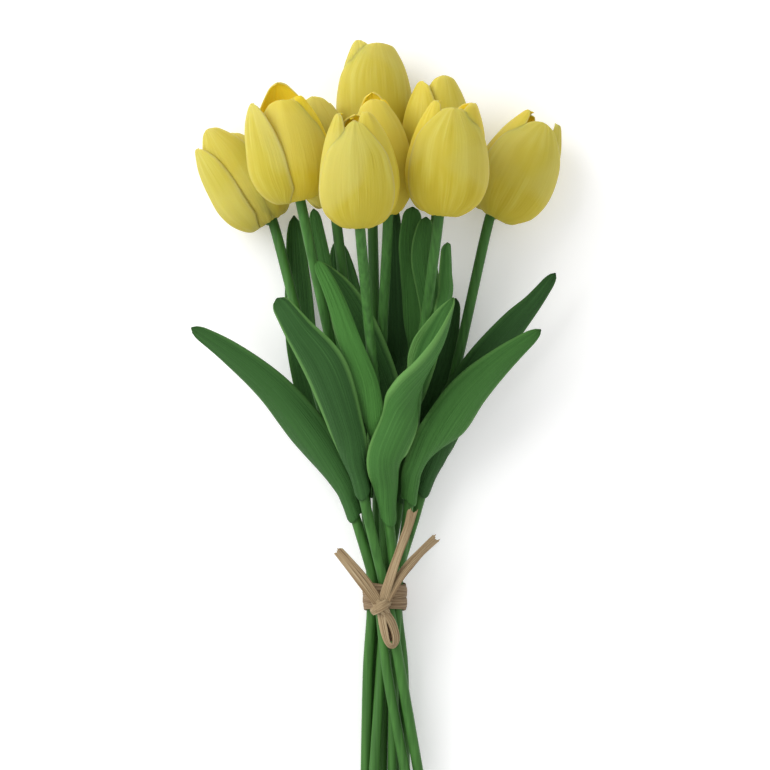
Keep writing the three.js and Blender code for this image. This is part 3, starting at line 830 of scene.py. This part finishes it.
def petal_surface(tulip, seed, turn, layer, tall, tip, wide=1.0, point=0.0):
    """The surface of one petal, with the bloom's axis as its third direction."""
    rows = PETAL_PROFILE.copy()
    rows[:, 0] += TIP_SHARE * (tip - USUAL_TIP)
    phase = np.random.default_rng(seed).uniform(0, 2 * math.pi, 3)
    turn = math.radians(turn)

    def surface(t, s):
        out, up, half = np.moveaxis(through(rows, t), -1, 0)
        past = np.clip(t - TIP_ROUNDING, 0, 1) / (1 - TIP_ROUNDING)
        rounding = np.maximum(np.sqrt(np.clip(1 - past ** 2, 0, 1)), LEAST_TIP)
        half = half * wide * (1 - point * t ** 3) * rounding
        cup = (LEAST_CUP + CUP_SHARE * max(layer, 0)) * s ** 2 * t ** 1.5
        radius = (tulip["radius"] - layer * LAYER_DEPTH) * out * (1 - cup)
        radius = radius + petal_waves(t, s, phase)
        angle = s * half * np.minimum(1, out + PETAL_CLOSING) / np.maximum(out, LEAST_OUT)
        x, y = radius * np.cos(angle), radius * np.sin(angle)
        return np.stack([
            x * math.cos(turn) - y * math.sin(turn),
            (x * math.sin(turn) + y * math.cos(turn)) * BLOOM_FLATTENING,
            tulip["height"] * tall * up + LAYER_LIFT * layer + 0 * s,
        ], -1)

    return surface


def placed_on_stem(tulip, surface):
    """The surface turned to the bloom's axis and set on the top of its stem."""
    axis = bloom_axis(tulip)
    right = unit(np.array([axis[1], -axis[0], 0]))
    basis = np.stack([right, np.cross(axis, right), axis])
    base = np.array(tulip["stem"][-1]) + axis * SEAT_GAP
    return lambda t, s: surface(t, s) @ basis + base


print("petal profile", len(PETAL_PROFILE), "places from foot to tip")

# %% [markdown]
# No two blooms are alike, so each has its own list of petals: the side that a petal stands on in
# degrees (-90 faces the camera), how deep it lies in the layers, its height, how far its tip stays from
# the axis and, where they aren't the usual ones, how wide it is and how pointed. A second list says how
# much painted golden light each petal takes, since those that lie deep in the shade between other
# blooms catch golden light thrown by their neighbours.

# %% Petals of the nine blooms
PETALS = {
    1: [(-160, 0, 0.9, 0.7), (-34, 0.6, 0.84, 0.5),
        (90, 0.1, 0.92, 0.46), (-112, 0.75, 1, 0.46, 1.1, -0.2),
        (30, 1.1, 0.86, 0.42), (152, 1.2, 0.9, 0.44)],
    2: [(-152, -0.2, 0.89, 0.76, 1, 0.4), (-91, 0.6, 0.865, 0.38, 1.25, -0.7),
        (-6, 1.3, 0.86, 0.52, 1, -0.2), (88, 0.5, 1.01, 0.4, 1.05, -0.1),
        (150, 1.6, 0.78, 0.5), (38, 1.7, 0.84, 0.46)],
    3: [(-100, -0.3, 0.97, 0.4, 1.15, -0.4), (-30, 0.9, 0.88, 0.45),
        (30, 0.2, 0.88, 0.5), (90, 1, 0.9, 0.4),
        (150, 0.2, 0.88, 0.45), (-150, 1.1, 0.88, 0.45)],
    4: [(-72, -0.6, 0.99, 0.48, 1.2, -0.9), (-140, 1.2, 1, 0.56, 1.1, -0.4),
        (90, 0.2, 0.95, 0.44), (178, 1.5, 0.93, 0.56),
        (-4, 1.1, 0.93, 0.64), (30, 1.7, 0.92, 0.46)],
    5: [(-95, -1, 0.93, 0.34, 0.92, 0.25), (-165, 1.4, 0.97, 0.52, 0.95, -0.2),
        (-38, 1.2, 0.98, 0.34, 1.05, -0.2), (90, 0.5, 0.95, 0.34),
        (38, 1.7, 0.93, 0.28), (142, 1.8, 0.92, 0.26)],
    6: [(-88, -0.4, 0.955, 0.34, 1.15, -0.8), (-25, 1.1, 0.93, 0.46),
        (30, 0.7, 0.9, 0.42), (84, 0.6, 1, 0.36, 1.15, -0.5),
        (150, 0.9, 0.9, 0.4), (-158, 1.6, 0.9, 0.4)],
    7: [(-78, 0.8, 1.02, 0.34, 1.15, -0.9), (-155, -0.2, 0.97, 0.58, 1, -0.3),
        (-6, 1, 0.84, 0.6), (92, 0.2, 0.94, 0.42),
        (40, 1.5, 0.92, 0.46), (148, 1.6, 0.92, 0.46)],
    8: [(-78, -1, 0.92, 0.44, 1.05, -0.3), (-160, 1.3, 0.94, 0.46, 0.95, -0.3),
        (8, 0.7, 0.95, 0.6, 1.25, -0.8), (92, 0.3, 0.88, 0.4),
        (40, 1.5, 0.88, 0.46), (160, 1.6, 0.88, 0.44)],
    9: [(-82, -0.6, 0.95, 0.38, 1.05, -0.4), (-5, 0.9, 0.99, 0.4),
        (-174, 0.8, 0.985, 0.48, 1, -0.2), (150, 1.5, 0.95, 0.5),
        (72, 0.4, 0.92, 0.42), (28, 1.6, 0.9, 0.44)],
}
# How much painted golden bounce light lies on each petal of each bloom.
PAINTED_BOUNCE_SHARES = {
    1: (0, 0.2, 0, 0.05, 0, 0), 2: (0, 0.25, 0.85, 0.1, 0.3, 0.4), 3: (0.1, 0.2, 0.2, 0.2, 0.2, 0.2),
    4: (0.1, 0.1, 0, 0, 0, 0), 5: (0, 0.05, 0.2, 0.4, 0.4, 0.4), 6: (0.3, 0.8, 0.8, 0.4, 0.4, 0.4),
    7: (0.1, 0.2, 0.15, 0, 0, 0), 8: (0.1, 0.3, 0.3, 0, 0.2, 0.2), 9: (0.05, 0, 0.3, 0.2, 0, 0),
}
print("petals", sum(len(petals) for petals in PETALS.values()))

# %% [markdown]
# Each bloom is one object of six petals, closed round its axis and set on its stem. The tree raises
# the ridges once all six are in one mesh, with a seed of its own for each bloom. No petal may end
# below the surface, so the bloom is pressed on it as the stems are.

# %% Blooms
PETAL_RIDGES = {"Height": 1.2 * MM, "Across": 3.0, "Along": 1.1, "Paint": PETAL}
SEEDS_PER_BLOOM = 10
BLOOM_RIDGES_APART = 11.0


def bloom(number, tulip):
    blades = []
    first = SEEDS_PER_BLOOM * number
    for seed, petal in enumerate(PETALS[number], start=first):
        surface = placed_on_stem(tulip, petal_surface(tulip, seed, *petal))
        blades.append(blade(surface, PETAL_ROWS, PETAL_COLUMNS, PETAL_THICKNESS))
    rough = blades_object(f"tulip_{number}_petals", blades, first=first, tones_and_painted_light=PAINTED_BOUNCE_SHARES[number])
    made = grow(rough, RIDGE_TREE, PETAL_RIDGES | {"Seed": BLOOM_RIDGES_APART * number})
    rest_on_surface(made.data)
    return finish_piece(made, f"tulip_{number}_bloom")


blooms = [bloom(number, tulip) for number, tulip in TULIPS.items()]
print("blooms", len(blooms), "with", len(blooms[0].data.polygons), "faces each")

# %% [markdown]
# A leaf grows from its stem as a sheath and opens into a long hollow blade. The list gives the tulip,
# the place along Y where the sheath begins, the side of the stem that the leaf leaves on, and its
# shade, which is its tone and how strong the painted highlight along its rim is. A row for each place
# that the middle line then passes gives x, y and z, the direction that the hollow side faces there, the
# blade's half width and the radius of its hollow.

# %% Courses of the leaves
LEAVES = {
    "tulip_1_leaf": (1, -52, (-0.6, 0, 0.8), (0.34, 0.2), [
        (-34.6, -9.4, 30, 0.4, 0.1, -0.9, 12.2, 12), (-50.4, 11.2, 34, 0.3, 0.3, -0.9, 9.5, 14),
        (-70.3, 28.6, 35, 0.2, 0.4, -0.9, 6.6, 12), (-89, 41.5, 32, 0.1, 0.3, -0.95, 2.8, 8),
    ]),
    "tulip_2_leaf": (2, -41, (-0.3, 0, 1), (0.22, 0.8), [
        (-14.2, -8.6, 45.5, 0.1, 0, -1, 9.5, 11), (-24.4, 20.8, 58.5, 0.15, 0.1, -1, 11.2, 16),
        (-37.8, 40.7, 61.5, 0.1, 0.1, -1, 7.4, 12), (-47.5, 55.2, 59, 0.1, 0.1, -1, 4.5, 8),
    ]),
    "tulip_3_lower_leaf": (3, -44, (-0.6, 0, -0.8), (0.35, 0.2), [
        (-26, -6, 11, 0.1, 0, 1, 8, 24), (-35.5, 30, 8.5, 0.1, 0, 1, 8, 24),
        (-38, 62, 7, 0, 0, 1, 6.5, 20), (-40, 96, 9, 0, 0, 1, 3.2, 10),
    ]),
    "tulip_3_upper_leaf": (3, 2, (-0.7, 0, 0.7), (0.6, 0.3), [
        (-19, 42, 30, 0.1, 0, -1, 4.6, 12), (-23.2, 60, 34, 0.1, 0, -1, 4.2, 14),
        (-27, 79, 35.5, 0.1, 0, -1, 4, 14), (-30.2, 98.5, 37, 0.1, 0, -1, 2.6, 8),
    ]),
    "tulip_4_lower_leaf": (4, -32, (-0.85, 0, -0.5), (0.3, 0.2), [
        (-11, 12, 5.5, 0, 0, 1, 6.5, 24), (-13.5, 34, 8.5, 0, 0, 1, 7.5, 24),
        (-15.5, 60, 12, 0, 0, 1, 7.8, 20), (-19, 84, 16, 0, 0, 1, 3.4, 10),
    ]),
    "tulip_4_upper_leaf": (4, -8, (0.9, 0, -0.4), (0.12, 0.1), [
        (10, 30, 9.3, -0.1, 0, 1, 6, 24), (9.4, 55, 12, 0, 0, 1, 5.6, 24),
        (8.6, 78, 15, 0, 0, 1, 4.8, 20), (8.2, 101, 17, 0, 0, 1, 2.6, 10),
    ]),
    "tulip_7_top_leaf": (7, 16, (-0.3, 0, 0.95), (0.7, 0.2), [
        (18.4, 53, 28, 0.1, 0, -1, 6.4, 12), (17.6, 68, 30, 0.1, 0, -1, 6.5, 14),
        (16.6, 83, 32, 0, 0, -1, 6, 14), (17.3, 99.5, 34, 0, 0, -1, 4, 10),
    ]),
    "tulip_5_lower_leaf": (5, -54, (0.3, 0, 1), (0.64, 0.95), [
        (5, -21, 45.5, -0.1, 0, -1, 10.8, 11), (11.4, -5, 50, -0.15, 0.05, -1, 12.4, 9.4),
        (18.8, 9, 54, -0.7, 0.4, -0.35, 15, 9.6), (25.6, 22, 57, -0.85, 0.5, 0.2, 16.6, 10.4),
        (31.2, 34.5, 59.5, -0.8, 0.5, 0.4, 15, 10.2), (36.8, 55.5, 62, -0.8, 0.5, 0.5, 4, 6),
    ]),
    "tulip_5_upper_leaf": (5, -24, (-0.6, 0, 0.8), (1.0, 0.1), [
        (-5.2, 14, 49.3, 0.2, 0, -1, 6.4, 10), (-12.4, 34, 56, 0.1, 0, -1, 5.5, 12),
        (-20, 55.7, 59, 0, 0, -1, 4.3, 12), (-28.2, 73, 61, 0, 0, -1, 2.8, 8),
    ]),
    "tulip_6_leaf": (6, -43, (0, 0, 1), (0.3, 0.8), [
        (4, 6, 29.5, 0, 0, -1, 9, 24), (-6.5, 33, 37, 0, 0, -1, 11, 24),
        (-17, 56, 40, 0, 0, -1, 8.5, 24), (-27.5, 73, 41, 0, 0, -1, 1.8, 10),
    ]),
    "tulip_7_lower_leaf": (7, -46, (0.6, 0, -0.8), (0.2, 0.1), [
        (22, -6, 6.5, -0.2, 0, 1, 8.4, 24), (29.5, 18, 7, -0.1, 0, 1, 8, 30),
        (35, 38, 8, -0.1, 0, 1, 5, 20), (38.4, 56, 9.5, 0, 0, 1, 2.5, 10),
    ]),
    "tulip_7_upper_leaf": (7, -10, (-0.3, 0, 0.95), (0.6, 0.7), [
        (23.5, 30, 31.5, 0.1, 0, -1, 6.5, 14), (26.2, 48, 35.5, 0.2, 0, -1, 5.8, 14),
        (22.4, 75, 38.5, 0.1, 0, -1, 6.4, 12), (23.8, 94.5, 41, 0, 0, -1, 3.4, 8),
    ]),
    "tulip_8_lower_leaf": (8, -44, (0.85, 0, 0.5), (0.68, 0.4), [
        (33.2, -6.2, 37, -0.15, 0.1, -1, 11.8, 12), (45.6, 10.8, 42, -0.2, 0.2, -0.95, 10.4, 13),
        (61, 26, 44, -0.2, 0.3, -0.95, 7, 12), (78.8, 40.5, 42, -0.1, 0.3, -0.95, 2.5, 8),
    ]),
    "tulip_8_upper_leaf": (8, 22, (0.95, 0, -0.3), (0.75, 0.9), [
        (33.8, 56, 44.5, -0.6, 0, -0.8, 5, 4.6), (34.5, 68, 46, -0.7, 0, -0.7, 5, 3.8),
        (34, 82, 48, -0.7, 0, -0.7, 3.2, 3.4),
    ]),
    "tulip_9_leaf": (9, -40, (0.5, 0, 0.85), (0.18, 0.2), [
        (35.5, -2, 19.5, -0.2, 0.1, -1, 9.8, 13), (49.3, 22, 24.3, -0.2, 0.2, -0.95, 8.8, 14),
        (65.3, 41.8, 26.3, -0.2, 0.2, -0.95, 7.2, 13),
        (75.9, 53.8, 26.5, -0.2, 0.3, -0.95, 4.8, 10), (86.2, 67.8, 26, -0.1, 0.3, -0.95, 2.4, 8),
    ]),
}
print("leaves", len(LEAVES))

# %% [markdown]
# The sheath is rolled round the stem, a little clear of it. Its three rows are worked out from the
# stem's course at the leaf's foot, so it follows the stem wherever that runs, and the listed places
# come after them. At each row the blade is bent to an arc of a circle, and its end is rounded off.
# The foot ends in a soft tongue instead of a straight cut.

# %% Shape of a leaf
LEAF_THICKNESS = 1.0
SHEATH_ROWS = 3
SHEATH_CLEARANCE = 0.3
SHEATH_SPACING = 9.7
SHEATH_WRAP = 2.95
SHEATH_FLARE = 0.6
SHEATH_MOUTH = 6.2
STEM_SAMPLES = 2001
STEM_STEP = 1e-4
BLADE_STEP = 0.01
TONGUE = 0.05
TONGUE_SLOPE = 4
TONGUE_FADE = 6
TIP_START = 0.95
LEAST_ROUNDING = 0.01


def direction(rows, t, step):
    """The direction of a course at t, from the places just before and just after."""
    return unit(through(rows, t + step)[..., :3] - through(rows, t - step)[..., :3])


def blade_course(rows, t):
    """A blade's middle line, the ways over it and out of it, and the row's further values, at t."""
    row = through(rows, t)
    along = direction(rows, t, BLADE_STEP)
    facing = square_to(row[..., 3:6], along)
    return row[..., :3], np.cross(along, facing), facing, row[..., 6:]


def leaf_rows(tulip, foot, side, listed):
    """The rows of a leaf: its sheath's first, then those that the list gives."""
    rows = stem_rows(tulip)
    places = np.linspace(0, 1, STEM_SAMPLES)
    course = through(rows, places)
    radius = STEM_RADIUS + SHEATH_CLEARANCE + LEAF_THICKNESS / 2
    wrap = radius * SHEATH_WRAP
    first_width = listed[0][-2]
    made = []
    for step in range(SHEATH_ROWS):
        t = np.interp(foot + step * SHEATH_SPACING, course[:, 1], places)
        away = square_to(np.array(side, float), direction(rows, t, STEM_STEP))
        mouth = step == SHEATH_ROWS - 1
        roll = SHEATH_MOUTH if mouth else radius + SHEATH_FLARE * step
        width = (wrap + first_width) / 2 if mouth else wrap
        made.append((*(through(rows, t) + away * roll), *-away, width, roll))
    for x, y, z, *facing, width, hollow in listed:
        made.append((x, y, z, *unit(np.array(facing, float)), width, hollow))
    return made


def leaf_surface(rows):
    def surface(t, s):
        t = t + TONGUE * np.minimum(1, TONGUE_SLOPE * s ** 2) * (1 - t) ** TONGUE_FADE
        middle, over, facing, sizes = blade_course(rows, t)
        width, hollow = sizes[..., 0], sizes[..., 1]
        past = (np.maximum(t, TIP_START) - TIP_START) / (1 - TIP_START)
        rounding = np.sqrt(np.clip(1 - past ** 2, LEAST_ROUNDING, 1))
        angle = s * width * rounding / hollow
        inward = (hollow * (1 - np.cos(angle)))[..., None]
        sideways = (hollow * np.sin(angle))[..., None]
        return middle + facing * inward + over * sideways

    return surface


print("a sheath has", SHEATH_ROWS, "rows")

# %% [markdown]
# Each leaf is an object of one blade. The ridges that the tree raises are its long soft folds, with
# a seed of its own for each leaf.

# %% Leaves
LEAF_ROWS = 72
LEAF_COLUMNS = 28
LEAF_RIDGES = {"Height": 1.1 * MM, "Across": 4.0, "Along": 1.2, "Paint": LEAF}
SEEDS_PER_LEAF = 5


def leaf(name, seed):
    number, foot, side, shade, listed = LEAVES[name]
    surface = leaf_surface(leaf_rows(TULIPS[number], foot, side, listed))
    sheet = blade(surface, LEAF_ROWS, LEAF_COLUMNS, LEAF_THICKNESS)
    rough = blades_object(name.replace("leaf", "blade"), [sheet], first=seed, shade=shade)
    made = grow(rough, RIDGE_TREE, LEAF_RIDGES | {"Seed": float(seed)})
    return finish_piece(made, name)


leaves = [leaf(name, SEEDS_PER_LEAF * i) for i, name in enumerate(LEAVES)]
print("leaves", len(leaves), "with", len(leaves[0].data.polygons), "faces each")

# %% [markdown]
# The raffia is a long dried strip. It is wound several times round the stems and knotted on the
# front, with a loop and three tails. Each turn of the winding is a strip of its own that runs round
# the bundle at a slightly different height and slope, so it looks made by hand.

# %% Raffia winding
TIE = np.array([4.1, -88, 15.8])
BAND_HALF_WIDTH = 9.9
BAND_HALF_DEPTH = 12.9
BAND_LENGTH = 13.6
RAFFIA_THICKNESS = 0.55
RAFFIA_HALF_WIDTH = 2.4
RAFFIA_RIDGES = {"Height": 0.7 * MM, "Across": 2.5, "Along": 3.0, "Paint": RAFFIA}
TURNS = 5
TURN_SLOPE = 1.1
TURN_LIFT = 0.35
TURN_BULGE = 0.3
TURN_ROWS = 72
TURN_COLUMNS = 10
TURN_SHADE = (0.35, 0)
WINDING_SEED = 3.0


def turn_surface(number):
    height = (number - (TURNS - 1) / 2) * (BAND_LENGTH - 2 * RAFFIA_HALF_WIDTH) / (TURNS - 1)
    slope = (-1) ** number * TURN_SLOPE
    lift = TURN_LIFT * (number % 2)

    def surface(t, s):
        angle = 2 * math.pi * t
        x = (BAND_HALF_WIDTH + lift) * np.cos(angle)
        z = (BAND_HALF_DEPTH + lift) * np.sin(angle)
        y = height + slope * np.sin(angle + number) - s * RAFFIA_HALF_WIDTH
        bulge = TURN_BULGE * (1 - s ** 2)
        return TIE + np.stack([x + bulge * np.cos(angle), y, z + bulge * np.sin(angle)], -1)

    return surface


turns = [blade(turn_surface(i), TURN_ROWS, TURN_COLUMNS, RAFFIA_THICKNESS) for i in range(TURNS)]
winding = blades_object("raffia_winding", turns, shade=TURN_SHADE)
band = grow(winding, RIDGE_TREE, RAFFIA_RIDGES | {"Seed": WINDING_SEED})
finish_piece(band, "raffia_band")
print("winding of", TURNS, "turns with", len(band.data.polygons), "faces")

# %% [markdown]
# The knot, its loop and its tails are strips as well. A row for each place that a strip passes
# gives x, y and z, the direction that it faces there and its half width. A tail's end is torn. The
# fold inside the loop is the strip's shaded back, so it has a darker tone than the rest.

# %% Strips of the knot
FRAY = 0.07
STRIP_TONE = 0.9
STRIPS = {
    "left tail": {"fray": FRAY, "rows": [
        (2.2, -92.6, 32.3, 0, 0, 1, 2.4), (-5.5, -81.5, 32.3, 0.2, 0.1, 1, 3.2),
        (-12.7, -72.5, 31.3, 0.1, 0, 1, 2.8), (-19.6, -64.5, 29.3, 0, 0, 1, 2.3),
    ]},
    "middle tail": {"fray": FRAY, "rows": [
        (2.6, -91.5, 32.3, 0, 0, 1, 2.2), (6.5, -79, 32.8, -0.5, 0.2, 1, 2.6),
        (11, -66, 33.3, -0.5, 0.2, 1, 2.3), (15, -55, 34.3, 0.2, 0, 1, 2.2),
        (17.8, -44.5, 35.8, 0, 0, 1, 2.5),
    ]},
    "right tail": {"fray": FRAY, "rows": [
        (3, -92.2, 32.3, 0, 0, 1, 2.2), (11.5, -78, 32.3, -0.4, 0.4, 1, 2.5),
        (20.9, -66.9, 30.8, 0.2, -0.2, 1, 2.1), (29.8, -58.6, 28.8, 0, 0, 1, 2.2),
    ]},
    "loop": {"rows": [
        (1.8, -94, 32.1, -0.7, 0, 1, 2.2), (3.4, -103, 31.3, -0.7, -0.1, 1, 2.3),
        (5.4, -110, 30.7, -0.6, -0.8, 0.7, 2.1), (8.2, -111.4, 30.5, 0.6, -0.8, 0.7, 2.1),
        (9.4, -107.5, 30.9, 0.7, 0, 1, 2.2), (7.2, -100, 31.5, 0.7, 0, 1, 2.3),
        (3, -94, 32.3, 0.7, 0, 1, 2.2),
    ]},
    "fold inside the loop": {"tone": 0.1, "rows": [
        (2.9, -95.5, 30.2, 0, 0, 1, 1.2), (4.8, -102, 29.7, 0.2, 0, 1, 1.7),
        (6.7, -107, 29.4, -0.2, 0, 1, 1.8), (7.6, -109.2, 29.4, 0, 0, 1, 1.5),
    ]},
    "upper turn of the knot": {"rows": [
        (-2.2, -95.5, 30.4, -1, -0.6, 0.4, 1.6), (-0.8, -94.3, 33.7, -0.6, -0.3, 1, 2.1),
        (2.2, -92.5, 35.1, 0, 0, 1, 2.3), (5, -90.9, 33.8, 0.6, 0.3, 1, 2.1),
        (6.2, -89.9, 30.6, 1, 0.6, 0.4, 1.6),
    ]},
    "lower turn of the knot": {"rows": [
        (-1.6, -89.7, 30.4, -1, 0.7, 0.4, 1.6), (0.2, -91, 33.1, -0.5, 0.3, 1, 2.1),
        (2.4, -93, 34.2, 0, 0, 1, 2.2), (4.4, -95, 33.1, 0.5, -0.4, 1, 2.1),
        (5.6, -96.4, 30.4, 1, -0.7, 0.4, 1.6),
    ]},
}
print("strips", ", ".join(STRIPS))

# %% [markdown]
# A strip follows its middle line and is slightly cupped across it. Its torn end is a jagged cut:
# the last part of the strip is drawn back by a different length at each place across. All strips
# make one object, and the same tree as on the leaves raises their fibres.

# %% Raffia knot
STRIP_ROWS = 60
STRIP_COLUMNS = 12
STRIP_CUP = 0.35
COARSE_TEETH = 0.6
COARSE_WAVES = 2.2
COARSE_SHIFT = 5
FINE_TEETH = 0.4
FINE_WAVES = 7
TORN_END = 6
FIRST_STRIP = 9
KNOT_SEED = 4.0


def strip_surface(spec):
    rows = spec["rows"]
    end = rows[-1]

    def surface(t, s):
        coarse = COARSE_TEETH * np.abs(np.sin(COARSE_WAVES * s + COARSE_SHIFT * end[0]))
        fine = FINE_TEETH * np.abs(np.sin(FINE_WAVES * s + end[1]))
        t = t * (1 - spec.get("fray", 0) * (coarse + fine) * t ** TORN_END)
        middle, over, facing, half = blade_course(rows, t)
        return middle + over * s[..., None] * half + facing * STRIP_CUP * (1 - s ** 2)[..., None]

    return surface


surfaces = [strip_surface(spec) for spec in STRIPS.values()]
tails = [blade(surface, STRIP_ROWS, STRIP_COLUMNS, RAFFIA_THICKNESS) for surface in surfaces]
tones_and_painted_light = [spec.get("tone", STRIP_TONE) for spec in STRIPS.values()]
bow = blades_object("raffia_bow", tails, first=FIRST_STRIP, tones_and_painted_light=tones_and_painted_light)
knot = grow(bow, RIDGE_TREE, RAFFIA_RIDGES | {"Seed": KNOT_SEED})
finish_piece(knot, "raffia_knot")
print("knot of", len(STRIPS), "strips with", len(knot.data.polygons), "faces")
